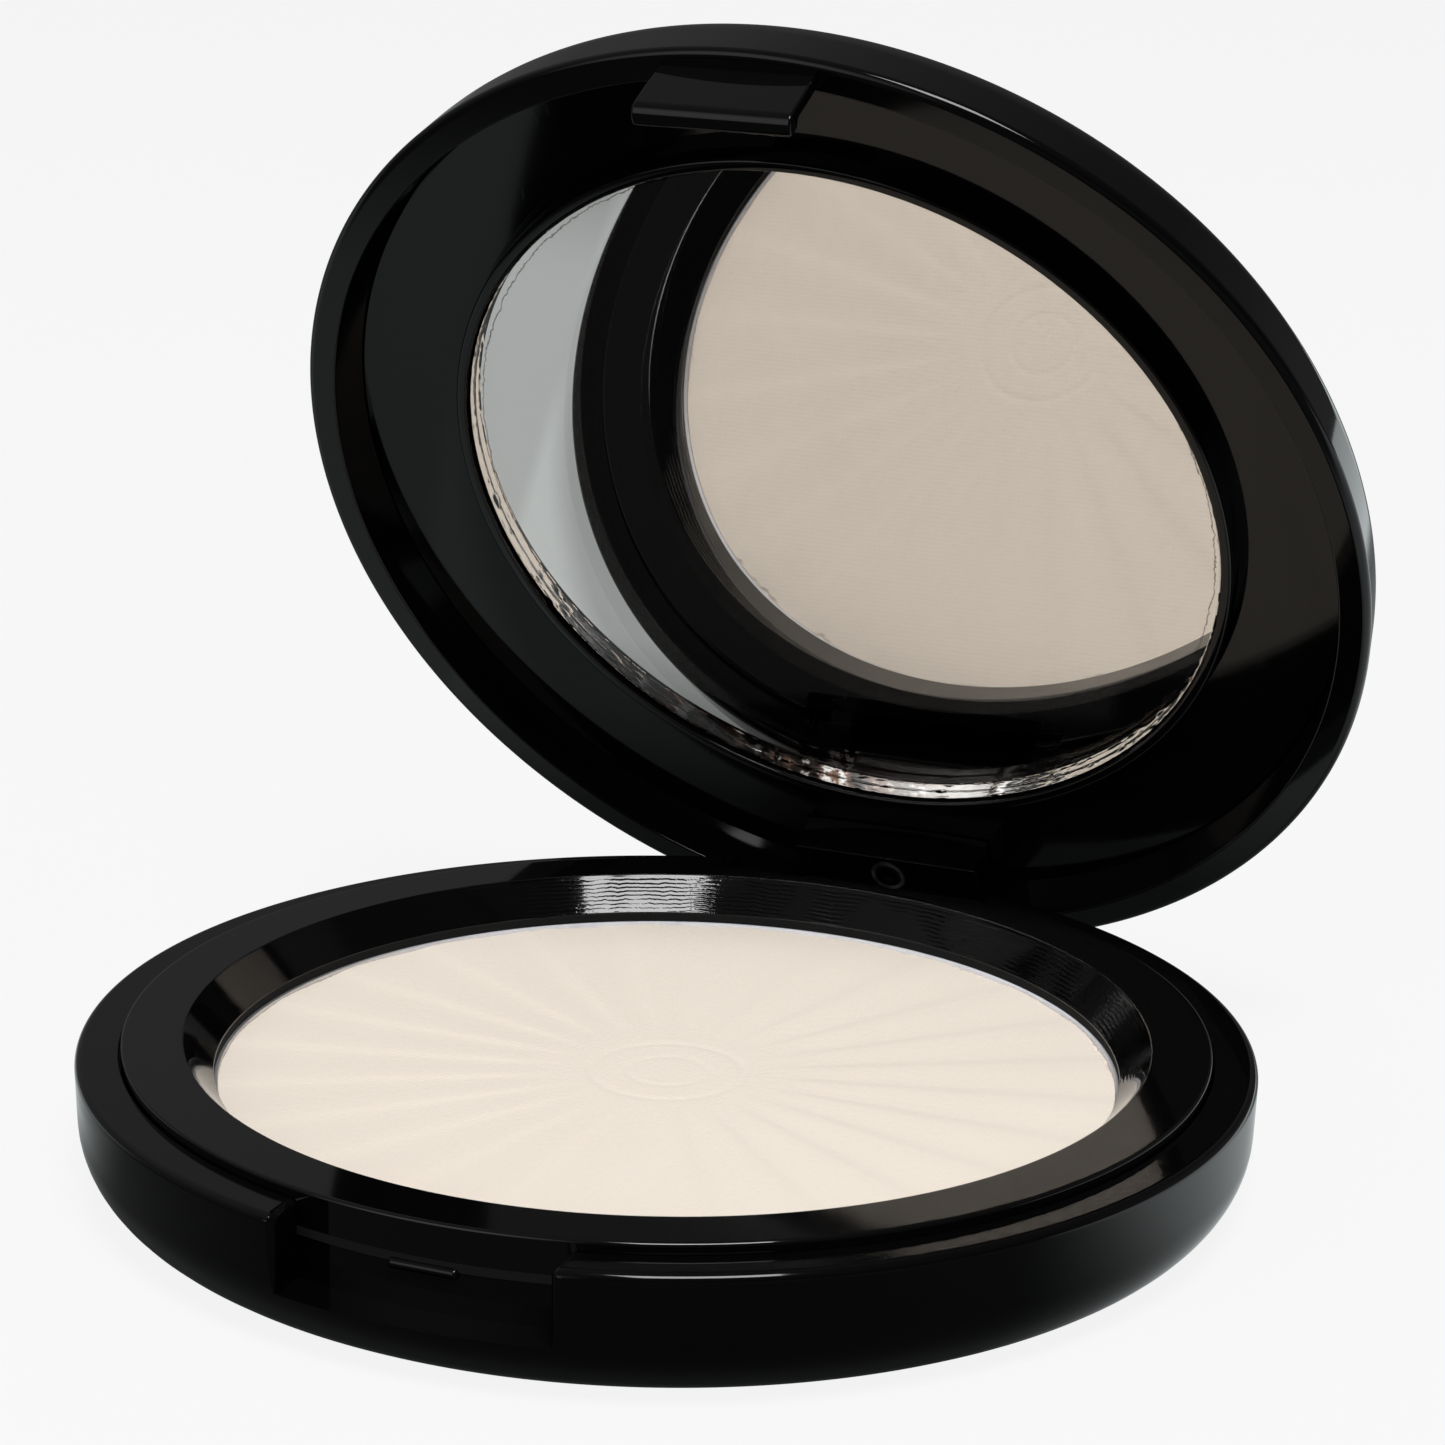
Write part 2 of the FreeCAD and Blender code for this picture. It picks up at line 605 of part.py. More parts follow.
def write_parts(bodies):
    os.makedirs("parts", exist_ok=True)
    for body in bodies:
        shape = body.Shape
        if shape.isNull() or not shape.isValid() or len(shape.Solids) != 1:
            raise RuntimeError(body.Label + " is not one valid solid")
        shape.exportStep(os.path.join("parts", body.Label + ".step"))
        print(body.Label, round(shape.Volume / 1000, 3), "cm3", shape.BoundBox)


BASE_PIECES = [
    base_shell(),
    pan_frame(),
    powder_pan(),
    disc("powder_cake", POWDER_RADIUS, PAN_BOTTOM + SIZE["pan_sheet"], POWDER_TOP),
    disc("pan_adhesive", SIZE["pan_radius"] * 0.8, SIZE["floor"], PAN_BOTTOM),
    hinge_pin(),
]
LID_PIECES = [
    lid_shell(),
    mirror_frame(),
    disc("mirror_glass", SIZE["mirror_radius"], GLASS_FRONT, GLASS_BACK),
    disc("mirror_silvering", SIZE["mirror_radius"] - SIZE["snug"], GLASS_BACK, SILVER_BACK),
    disc("mirror_adhesive", SIZE["mirror_radius"] - 1, SILVER_BACK, GLUE_BACK),
]
for piece in LID_PIECES:
    turn_open(piece)
DOC.recompute()
check_document()
write_parts(BASE_PIECES + LID_PIECES)
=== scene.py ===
import math

import bmesh
import bpy
import numpy as np
from mathutils import Matrix, Vector, noise


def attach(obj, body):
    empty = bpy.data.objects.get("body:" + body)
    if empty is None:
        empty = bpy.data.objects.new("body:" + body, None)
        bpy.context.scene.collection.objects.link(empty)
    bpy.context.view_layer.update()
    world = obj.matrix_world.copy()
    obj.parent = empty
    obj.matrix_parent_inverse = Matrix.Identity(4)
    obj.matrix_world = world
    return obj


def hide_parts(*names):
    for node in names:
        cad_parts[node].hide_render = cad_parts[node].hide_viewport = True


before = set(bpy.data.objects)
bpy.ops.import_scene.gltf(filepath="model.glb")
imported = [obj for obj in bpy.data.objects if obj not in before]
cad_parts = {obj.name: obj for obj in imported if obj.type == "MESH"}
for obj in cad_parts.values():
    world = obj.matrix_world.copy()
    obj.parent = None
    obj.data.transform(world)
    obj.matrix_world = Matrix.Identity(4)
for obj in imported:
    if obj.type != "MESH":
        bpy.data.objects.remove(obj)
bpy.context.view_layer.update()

MM = 0.001

# The camera: where it stands, how it is turned, and its lens on a 36 mm sensor.
CAMERA_PLACE = Vector((102.35, -237.47, 106.15)) * MM
CAMERA_AZIMUTH = math.radians(22.61)
CAMERA_ELEVATION = math.radians(16.38)
CAMERA_ROLL = math.radians(-1.04)
CAMERA_LENS = 105.56
CAMERA_SENSOR = 36.0
CAMERA_NEAREST = 0.01

# The case, in mm. The lid's sizes are for the closed lid.
STEPS_ROUND = 640  # points round a full circle
PAST_CASE = 42.0  # a place along Y that is clear of the case
ABOVE_BASE = 12.0  # a height that is clear of the base

BASE_RADIUS = 38.2
BASE_FOOT = 37.9
BASE_CORNER = 5.0
BASE_HEIGHT = 8.8
SEAT_RADIUS = 35.35
SEAT_HEIGHT = 6.6
FLOOR_TOP = 2.1
WELL_WALL = (29.75, 31.0)  # inner and outer radius of the wall round the pan
CAVITY_OUTER = 34.1

RING_RADIUS = 35.25
RING_TOP = 9.5
SLOPE_TOP = 31.3
LIP = (29.35, 7.25)  # radius and height where the sloping side ends

NOTCH = (8.8, 35.2, 3.85)  # half width, radius of the back wall, height of the floor
NOTCH_ROUND = 0.6
RIDGE = (2.3, 6.5, 0.35)  # half length, height, radius

CUTOUT_HALF = 10.2
POCKET_HALF = 7.3
POCKET_FRONT = 32.3
POCKET_FLOOR = 0.75
HINGE_BLOCK = (30.7, 34.7)  # front and back of the solid that the hinge pocket is cut into
HINGE_BLOCK_HALF = CUTOUT_HALF + 1.3
HINGE_BLOCK_FOOT = 1.6
HINGE_Y = 35.1
HINGE_Z = 3.05
PIN_RADIUS = 0.8
PIN_PLAY = 0.05
PIN_HOLE = (-10.1, 20.0)  # blind on the left, open on the right
PIN_STEPS = 48
LUG_HALF = 7.0
BARREL_RADIUS = 2.0
LAND_FRONT = 31.3
LAND_HEIGHT = 10.0
GATE_MARK = (33.4, 1.35)  # its middle along Y, and its radius
GATE_RIM = 0.10  # how far its rim stands out

HOOK_HALF = 5.4
HOOK_FACE = 37.1
HOOK_THICK = 0.9
HOOK_TIP = 4.05
HOOK_BARB = 0.45

LID_RIM = 9.0
LID_RADIUS = 38.5
LID_SHOULDER = (37.4, 15.5)
LID_TOP = 18.0
LID_ROOF = 16.4  # underside of the dome, at its middle
LID_ROOF_EDGE = (34.9, 14.2)
LID_RIM_INNER = 36.3
LID_SEAT = (35.7, 13.7)
PLATE_HEIGHT = 12.5  # the plate's face at its outer edge
LID_OPEN = math.radians(-63.8)

BEZEL_INNER = 27.5
BEZEL_OUTER = 28.3
BEZEL_HEIGHT = 11.8
PLATE_AT_BEZEL = 13.4
PLATE_RADIUS = 35.6
BACKING = (14.15, 14.95)  # front and back of the frame behind the mirror
BACK_BENDS = ((34.7, 13.7), (30.3, 14.2))  # radius and height of the bends in its back

GLASS_RADIUS = 27.4
GLASS_FRONT = 12.25
GLASS_BACK = 13.87  # a hair behind the face of the silvering, so that the coat lies on the glass
GLASS_STEPS = 900
GLASS_ROWS = 8  # rows of points up the glass's edge
GLASS_ROW = 0.17
SILVER_SOUND = 26.7  # beyond this radius the silvering is nibbled

# Two places on the closed lid, along Y and up.
GATE_PLACE = (GATE_MARK[0], LAND_HEIGHT)
MIRROR_PLACE = (0.0, GLASS_BACK)

# The powder's face: where it lies and how its sunburst is pressed in, in mm.
POWDER_RADIUS = 29.12
POWDER_TOP = 6.45
POWDER_FACE = POWDER_TOP - 0.04  # the face where nothing is pressed in
POWDER_BOTTOM = 3.0
POWDER_SECTORS = 960
RAY_COUNT = 24
RAY_DEPTH = 0.18
RAY_SHARE = 0.55  # how much of that depth is pressed in
RAY_PHASE = math.radians(2.4)
RAY_START = 5.6
RAY_GROWTH = 7.0  # how far out from its start a ray takes to reach its full depth
RAY_STEEP = 0.3  # the share of a ray that falls steeply
SUN_GROOVES = ((5.0, 0.50, 0.055), (2.6, 0.42, 0.045))  # radius, width and depth of each ring

# Below this height, in metres, the wall under the sloping side is matt.
MATT_TOP = 7.2 * MM

# The floor, in metres, and how bright the camera sees it and the room.
FLOOR_HALF = 3.0
FLOOR_GAP = 0.02 * MM  # keeps the floor from lying in the plane of the underside
FLOOR_SEEN = 0.88
ROOM_SEEN = 0.93

# The key light, in metres.
KEY_DIRECTION = (0.26, -0.385, 0.885)
KEY_DISTANCE = 0.9
KEY_SIZE = 0.335
KEY_RADIANCE = 23.1
KEY_AIM = Vector((0, 0, 0.02))


def opened(point):
    """Where a point (x, y, z in mm) of the closed lid is on the open lid, in metres."""
    x, y, z = point
    turn = Matrix.Rotation(LID_OPEN, 3, "X")
    return (turn @ Vector((x, y - HINGE_Y, z - HINGE_Z)) + Vector((0, HINGE_Y, HINGE_Z))) * MM


class Graph:
    """The node tree of a material or world, with short ways to add and join its nodes."""

    def __init__(self, owner, shader="Principled BSDF", place="Object"):
        self.owner = owner
        self.owner.use_nodes = True
        self.tree = self.owner.node_tree
        self.shader = self.tree.nodes[shader]
        self.place = self.add("ShaderNodeTexCoord").outputs[place]

    def add(self, kind, values=(), **settings):
        node = self.tree.nodes.new(kind)
        for key, value in settings.items():
            setattr(node, key, value)
        for key, value in dict(values).items():
            self.feed(node.inputs[key], value)
        return node

    def feed(self, socket, value):
        """Set a socket to a number or colour, or join it to another node's output."""
        if isinstance(value, bpy.types.NodeSocket):
            self.tree.links.new(value, socket)
        else:
            socket.default_value = value

    def set(self, **values):
        """Set inputs of the shader."""
        for key, value in values.items():
            self.feed(self.shader.inputs[key.replace("_", " ")], value)

    def fed(self, name):
        """What feeds an input of the shader so far."""
        return self.shader.inputs[name].links[0].from_socket

    def math(self, operation, first, second=0.0, third=0.0):
        node = self.add("ShaderNodeMath", {0: first, 1: second, 2: third}, operation=operation)
        return node.outputs[0]

    def noise(self, scale, detail=2.0, where=None, roughness=0.5, distortion=0.0):
        values = {"Vector": where or self.place, "Scale": scale, "Detail": detail,
                  "Roughness": roughness, "Distortion": distortion}
        return self.add("ShaderNodeTexNoise", values).outputs["Fac"]

    def spread(self, value, low, high, to_low=0.0, to_high=1.0):
        """Carry value from the range low..high to the range to_low..to_high, and clamp it."""
        values = {"Value": value, "From Min": low, "From Max": high, "To Min": to_low, "To Max": to_high}
        return self.add("ShaderNodeMapRange", values).outputs["Result"]

    def smooth_spread(self, value, low, high, to_low, to_high):
        """The same with a gentle start and end."""
        result = self.spread(value, low, high, to_low, to_high)
        result.node.interpolation_type = "SMOOTHSTEP"
        return result

    def stretched(self, scale):
        """The place, scaled by its own amount along each axis."""
        return self.add("ShaderNodeMapping", {"Vector": self.place, "Scale": scale}).outputs["Vector"]

    def blend(self, amount, first, second):
        """Mix two colours."""
        node = self.add("ShaderNodeMix", data_type="RGBA")
        self.feed(node.inputs[0], amount)
        self.feed(node.inputs[6], first)
        self.feed(node.inputs[7], second)
        return node.outputs[2]

    def bump(self, height, distance, before=None):
        values = {"Height": height, "Distance": distance, "Strength": 1.0}
        if before is not None:
            values["Normal"] = before
        return self.add("ShaderNodeBump", values).outputs["Normal"]

    def axes(self):
        split = self.add("ShaderNodeSeparateXYZ", {"Vector": self.place})
        return split.outputs["X"], split.outputs["Y"], split.outputs["Z"]

    def vector_math(self, operation, values, output):
        return self.add("ShaderNodeVectorMath", values, operation=operation).outputs[output]

    def distance_to(self, point):
        return self.vector_math("DISTANCE", {0: self.place, 1: point}, "Value")

    def from_upright_axis(self):
        """Distance from the Z axis."""
        x, y, z = self.axes()
        across = self.math("MULTIPLY", x, x)
        return self.math("SQRT", self.math("MULTIPLY_ADD", y, y, across))

    def lobe(self, direction, low, high, to_low, to_high):
        """A soft patch of a world, around a direction."""
        towards = Vector(direction).normalized()
        near = self.vector_math("DOT_PRODUCT", {0: self.place, 1: towards}, "Value")
        return self.spread(near, low, high, to_low, to_high)


def new_surface(name):
    return Graph(bpy.data.materials.new(name))


def grey(level):
    return (level, level, level, 1.0)


def dust_mask(graph, scale, size, share):
    """White in small scattered specks: one cell in so many carries a speck."""
    cells = graph.add("ShaderNodeTexVoronoi", {"Vector": graph.place, "Scale": scale}, feature="F1")
    near = graph.spread(cells.outputs["Distance"], size * 0.6, size, 1.0, 0.0)
    pick = graph.add("ShaderNodeSeparateColor", {"Color": cells.outputs["Color"]}).outputs["Red"]
    return graph.math("MULTIPLY", near, graph.math("LESS_THAN", pick, share))


def gloss_black(name, shine=0.2, bevel_chatter=False, gate=False):
    """Polished black moulded plastic: faint haze, orange peel, fine scuffs and a little dust."""
    graph = new_surface(name)
    haze = graph.noise(55.0, 4.0)
    smudge = graph.spread(graph.noise(16.0, 5.0, distortion=0.6), 0.45, 0.75)
    scuffs = graph.spread(graph.noise(1.0, 3.0, graph.stretched((900.0, 90.0, 300.0))), 0.62, 0.72)
    dust = dust_mask(graph, 240.0, 0.025, 0.10)
    black = graph.blend(haze, (0.0009, 0.0009, 0.0010, 1), (0.0018, 0.0018, 0.0020, 1))
    graph.set(Base_Color=graph.blend(dust, black, grey(0.30)))
    rough = graph.math("MULTIPLY_ADD", smudge, 0.05, 0.055)
    rough = graph.math("MULTIPLY_ADD", scuffs, 0.03, rough)
    if bevel_chatter:
        rough = graph.math("MAXIMUM", rough, matt_wall(graph))
    graph.set(Roughness=graph.math("MULTIPLY_ADD", dust, 0.5, rough))
    graph.set(IOR=1.49, Specular_IOR_Level=shine)
    if gate:
        # The gate mark's pale ring: frosted plastic, and partly a painted highlight.
        frost_and_highlight_gate(graph)
    normal = graph.bump(graph.noise(300.0, 1.0), 0.0000014)
    normal = graph.bump(scuffs, 0.0000006, before=normal)
    if bevel_chatter:
        normal = chatter_marks(graph, normal)
    graph.set(Normal=normal)
    return graph.owner


def matt_wall(graph):
    """How dull the low upright wall under the sloping side is. It is left matt, so it stays dark."""
    return graph.spread(graph.axes()[2], MATT_TOP - 0.06 * MM, MATT_TOP, 0.9, 0.0)


def frost_and_highlight_gate(graph):
    """Make the plastic pale and dull on the ring of the gate mark. The pale ring is partly the frosted
    plastic of the mark and partly a painted highlight on its rim.
    """
    far = graph.distance_to(opened((0.0, *GATE_PLACE)))
    ring = graph.math("ABSOLUTE", graph.math("SUBTRACT", far, (GATE_MARK[1] - 0.2) * MM))
    frost_and_highlight = graph.spread(ring, 0.08 * MM, 0.22 * MM, 1.0, 0.0)
    frost_and_highlight = graph.math("MULTIPLY", frost_and_highlight, graph.spread(graph.noise(600.0, 2.0), 0.38, 0.62, 0.15, 1.0))
    graph.set(Base_Color=graph.blend(frost_and_highlight, graph.fed("Base Color"), (0.075, 0.078, 0.082, 1)))
    graph.set(Roughness=graph.math("MULTIPLY_ADD", frost_and_highlight, 0.35, graph.fed("Roughness")))


def chatter_marks(graph, normal):
    """Fine wavy lines round the back of the well's sloping side, left by the mould's cutter."""
    x, y, z = graph.axes()
    inside = graph.math("LESS_THAN", graph.from_upright_axis(), (SLOPE_TOP - 0.15) * MM)
    inside = graph.math("MULTIPLY", inside, graph.spread(y, 0.006, 0.014))
    waver = graph.noise(1.0, 2.0, graph.stretched((1400.0, 1400.0, 500.0)), distortion=0.5)
    steps = graph.noise(1.0, 1.0, graph.stretched((330.0, 330.0, 60.0)))
    phase = graph.math("MULTIPLY", z, 2 * math.pi / (0.24 * MM))
    phase = graph.math("MULTIPLY_ADD", waver, 5.0, phase)
    phase = graph.math("MULTIPLY_ADD", steps, 9.0, phase)
    lines = graph.math("SINE", phase)
    patchy = graph.spread(graph.noise(130.0, 2.0), 0.38, 0.62)
    height = graph.math("MULTIPLY", graph.math("MULTIPLY", lines, inside), patchy)
    return graph.bump(height, 0.0000075, before=normal)


def pressed_powder(name):
    """Cream pressed powder: soft mottling, a fine linen weave and loose grains."""
    graph = new_surface(name)
    x, y, z = graph.axes()
    pitch = 2 * math.pi / (0.36 * MM)
    wander = graph.math("MULTIPLY", graph.noise(260.0, 2.0), 2.5)
    weft = graph.math("SINE", graph.math("MULTIPLY_ADD", y, pitch, wander))
    warp = graph.math("SINE", graph.math("MULTIPLY_ADD", x, pitch, wander))
    weave = graph.math("MULTIPLY_ADD", warp, 0.6, weft)
    cloudy = graph.noise(70.0, 5.0)
    grain = graph.noise(5200.0, 3.0)
    tone = graph.blend(cloudy, (0.790, 0.700, 0.605, 1), (0.835, 0.752, 0.655, 1))
    fleck = graph.spread(grain, 0.30, 0.75)
    tone = graph.blend(graph.math("MULTIPLY", fleck, 0.22), tone, (0.90, 0.84, 0.75, 1))
    shade = graph.spread(weave, -1.6, 1.6, 0.0, 0.05)
    tone = graph.blend(shade, tone, (0.66, 0.58, 0.50, 1))
    graph.set(Base_Color=tone, Roughness=0.92, Specular_IOR_Level=0.18, IOR=1.45)
    graph.set(Sheen_Weight=0.12, Sheen_Roughness=0.6)
    normal = graph.bump(weave, 0.000004)
    graph.set(Normal=graph.bump(grain, 0.000022, before=normal))
    return graph.owner


def worn_metal(name, low, high, roughness):
    """Plain metal with rolling marks and a little dulling."""
    graph = new_surface(name)
    streaks = graph.noise(1.0, 4.0, graph.stretched((200.0, 1800.0, 1800.0)))
    graph.set(Base_Color=graph.blend(streaks, low, high), Metallic=1.0)
    graph.set(Roughness=graph.spread(streaks, 0.2, 0.8, roughness, roughness + 0.16))
    graph.set(Normal=graph.bump(streaks, 0.000004))
    return graph.owner


def dusted_and_highlit_metal(name):
    """The pan's bright sheet, whitened along its rim, mostly at the back: partly powder, and partly a
    painted highlight.
    """
    material = worn_metal(name, (0.62, 0.62, 0.64, 1), (0.80, 0.79, 0.80, 1), 0.30)
    graph = Graph(material)
    x, y, z = graph.axes()
    rim = graph.spread(z, 5.0 * MM, 6.0 * MM)
    # Stronger at the back: there the whitening is a painted highlight.
    back_highlight = graph.spread(y, 0.006, 0.024, 0.12, 1.0)
    powder_and_highlight = graph.math("MULTIPLY", rim, back_highlight)
    powder_and_highlight = graph.math("MULTIPLY", powder_and_highlight, graph.spread(graph.noise(900.0), 0.25, 0.45, 0.7, 1.0))
    graph.set(Base_Color=graph.blend(powder_and_highlight, graph.fed("Base Color"), (0.76, 0.77, 0.81, 1)))
    graph.set(Metallic=graph.spread(powder_and_highlight, 0.0, 1.0, 1.0, 0.1))
    graph.set(Roughness=graph.spread(powder_and_highlight, 0.0, 1.0, 0.35, 0.8))
    return material


def silvering(name):
    """The mirror's coat: very smooth and slightly darkened, lost in places along its edge."""
    graph = new_surface(name)
    cloud = graph.noise(40.0, 3.0)
    silver = graph.blend(cloud, (0.655, 0.628, 0.608, 1), (0.672, 0.644, 0.624, 1))
    lost = lost_silver(graph)
    brown = graph.spread(graph.noise(480.0), 0.45, 0.55)
    stain = graph.blend(brown, (0.020, 0.016, 0.014, 1), (0.16, 0.095, 0.070, 1))
    graph.set(Base_Color=graph.blend(lost, silver, stain))
    graph.set(Metallic=1.0, Roughness=graph.spread(cloud, 0.3, 0.7, 0.0, 0.012))
    return graph.owner


def lost_silver(graph):
    """Where the silver is gone: a thin ragged line all round, and mottling at the lower left."""
    radius = graph.distance_to(opened((0.0, *MIRROR_PLACE)))
    ragged = graph.math("MULTIPLY_ADD", graph.noise(1100.0, 5.0, roughness=0.75), 0.8 * MM, radius)
    line = graph.math("ABSOLUTE", graph.math("SUBTRACT", ragged, (SILVER_SOUND + 0.45) * MM))
    line = graph.spread(line, 0.02 * MM, 0.06 * MM, 0.85, 0.0)
    x, y, z = graph.axes()
    low = graph.spread(z, 0.020, 0.028, 1.0, 0.0)
    low = graph.math("MULTIPLY", low, graph.spread(x, -0.004, 0.006, 1.0, 0.0))
    outside = graph.math("GREATER_THAN", ragged, (SILVER_SOUND + 0.12) * MM)
    mottled = graph.spread(graph.noise(620.0, 4.0, roughness=0.7), 0.40, 0.47)
    mottled = graph.math("MULTIPLY", mottled, outside)
    return graph.math("MAXIMUM", line, graph.math("MULTIPLY", mottled, low))


def clear_glass(name):
    """Clear glass with a faint uneven film."""
    graph = new_surface(name)
    film = graph.noise(60.0, 4.0)
    graph.set(Base_Color=(0.97, 0.985, 0.98, 1), Transmission_Weight=1.0, IOR=1.50)
    graph.set(Roughness=graph.spread(film, 0.4, 0.8, 0.0, 0.015))
    return graph.owner


def dried_glue(name):
    """Lumpy off-white glue."""
    graph = new_surface(name)
    lumps = graph.noise(300.0, 4.0)
    graph.set(Base_Color=graph.blend(lumps, (0.62, 0.60, 0.54, 1), (0.78, 0.76, 0.70, 1)))
    graph.set(Roughness=graph.spread(lumps, 0.2, 0.8, 0.35, 0.6), Normal=graph.bump(lumps, 0.00006))
    return graph.owner


def paint(node, material):
    """Give a CAD node a better material."""
    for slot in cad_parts[node].material_slots:
        slot.material = material


def arc_points(centre, radius, start, end, steps):
    """Points along an arc, in degrees, both ends included."""
    turns = [math.radians(start + (end - start) * k / steps) for k in range(steps + 1)]
    return [(centre[0] + radius * math.cos(t), centre[1] + radius * math.sin(t)) for t in turns]


def circle_points(centre, radius, steps):
    return arc_points(centre, radius, 0, 360, steps)[:-1]


def dome_points(start, end, steps):
    """Points along the arc from start to end whose centre is on the upright axis, ends left out."""
    rise = end[1] - start[1]
    centre = (start[1] + end[1]) / 2 + (end[0] ** 2 - start[0] ** 2) / (2 * rise)
    side = 1 if start[1] > centre else -1
    radius = math.hypot(start[0], start[1] - centre)
    across = [start[0] + (end[0] - start[0]) * k / steps for k in range(1, steps)]
    return [(a, centre + side * math.sqrt(radius ** 2 - a ** 2)) for a in across]


def rounded(corners, steps=8):
    """An outline whose corners (across, up, radius) are turned into arcs of that radius."""
    points = []
    count = len(corners)
    for index, corner in enumerate(corners):
        if len(corner) == 2:
            points.append(corner)
            continue
        here = Vector(corner[:2])
        before = (Vector(corners[index - 1][:2]) - here).normalized()
        after = (Vector(corners[(index + 1) % count][:2]) - here).normalized()
        half = before.angle(after) / 2
        centre = here + (before + after).normalized() * (corner[2] / math.sin(half))
        first = here + before * (corner[2] / math.tan(half)) - centre
        last = here + after * (corner[2] / math.tan(half)) - centre
        swing = first.angle_signed(last)
        for k in range(steps + 1):
            spot = first.copy()
            spot.rotate(Matrix.Rotation(-swing * k / steps, 2))
            points.append(tuple(centre + spot))
    return points


def turned(outline, steps=STEPS_ROUND):
    """Points and faces of an outline turned round the Z axis. Its ends may lie on the axis."""
    points, rings, faces = [], [], []
    for radius, height in outline:
        if radius < 1e-6:
            rings.append([len(points)])
            points.append((0.0, 0.0, height))
            continue
        rings.append(range(len(points), len(points) + steps))
        for k in range(steps):
            angle = 2 * math.pi * k / steps
            points.append((radius * math.cos(angle), radius * math.sin(angle), height))
    for first, second in zip(rings, rings[1:] + rings[:1]):
        if len(first) == 1 and len(second) == 1:
            continue
        for k in range(steps):
            corners = [first[k % len(first)], first[(k + 1) % len(first)],
                       second[(k + 1) % len(second)], second[k % len(second)]]
            faces.append(tuple(dict.fromkeys(corners)))
    return points, faces


def stack(levels):
    """Points and faces of outlines laid one above another. Each level is (outline, height)."""
    count = len(levels[0][0])
    points = [(across, along, height) for outline, height in levels for across, along in outline]
    last = len(points)
    faces = [tuple(range(count)), tuple(range(last - 1, last - count - 1, -1))]
    for first in range(0, last - count, count):
        for k in range(count):
            following = (k + 1) % count
            faces.append((first + k, first + k + count, first + following + count, first + following))
    return points, faces


def slab_along_x(outline, low, high):
    """Points and faces of a (y, z) outline pushed along X, from low to high."""
    points, faces = stack([(outline, low), (outline, high)])
    return [(z, x, y) for x, y, z in points], faces


def block(low, high):
    """Points and faces of a box between two corners."""
    corners = [(low[0], low[1]), (high[0], low[1]), (high[0], high[1]), (low[0], high[1])]
    return stack([(corners, low[2]), (corners, high[2])])


def slot_at_back(half, front, bottom, top=ABOVE_BASE):
    """The space of a slot that is open at the back and at the top."""
    return block((-half, front, bottom), (half, PAST_CASE, top))


def in_metres(points):
    return [tuple(c * MM for c in p) for p in points]


def linked_object(name, data):
    """A new object in the scene, of a mesh, light or camera."""
    thing = bpy.data.objects.new(name, data)
    bpy.context.collection.objects.link(thing)
    return thing


def mesh_object(name, shape):
    """A new object of a shape in mm, with its faces turned outwards."""
    points, faces = shape
    mesh = bpy.data.meshes.new(name)
    mesh.from_pydata(in_metres(points), [], faces)
    work = bmesh.new()
    work.from_mesh(mesh)
    bmesh.ops.recalc_face_normals(work, faces=work.faces)
    work.to_mesh(mesh)
    work.free()
    return linked_object(name, mesh)


def settle(thing):
    """Apply the modifiers of an object."""
    shape = bpy.data.meshes.new_from_object(thing.evaluated_get(bpy.context.evaluated_depsgraph_get()))
    thing.modifiers.clear()
    thing.data = shape


def combine(thing, shape, operation, soft=0.0):
    """Join another shape to an object, or cut it away. Its sharp edges may be softened first."""
    tool = mesh_object("tool", shape)
    if soft:
        soften(tool, soft)
    step = thing.modifiers.new("step", "BOOLEAN")
    step.operation = operation
    step.solver = "EXACT"
    step.object = tool
    settle(thing)
    bpy.data.objects.remove(tool)


def soften(thing, width):
    """Round the sharp edges of a small piece."""
    step = thing.modifiers.new("edges", "BEVEL")
    step.width = width * MM
    step.segments = 4
    step.limit_method = "ANGLE"
    step.angle_limit = math.radians(40)
    settle(thing)


def settle_piece(thing, material, body, nodes, sharp=28.0):
    """Give a finished shape its surface and its body, and hide the CAD nodes it stands for."""
    thing.data.materials.clear()
    thing.data.materials.append(material)
    thing.data.polygons.foreach_set("use_smooth", [True] * len(thing.data.polygons))
    thing.data.set_sharp_from_angle(angle=math.radians(sharp))
    step = thing.modifiers.new("normals", "WEIGHTED_NORMAL")
    step.weight = 100
    step.keep_sharp = True
    settle(thing)
    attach(thing, body)
    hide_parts(*nodes)


def open_lid(thing):
    """Turn a shape drawn on the closed lid to where the open lid is."""
    axis = Vector((0, HINGE_Y, HINGE_Z)) * MM
    turn = Matrix.Translation(axis) @ Matrix.Rotation(LID_OPEN, 4, "X") @ Matrix.Translation(-axis)
    thing.data.transform(turn)


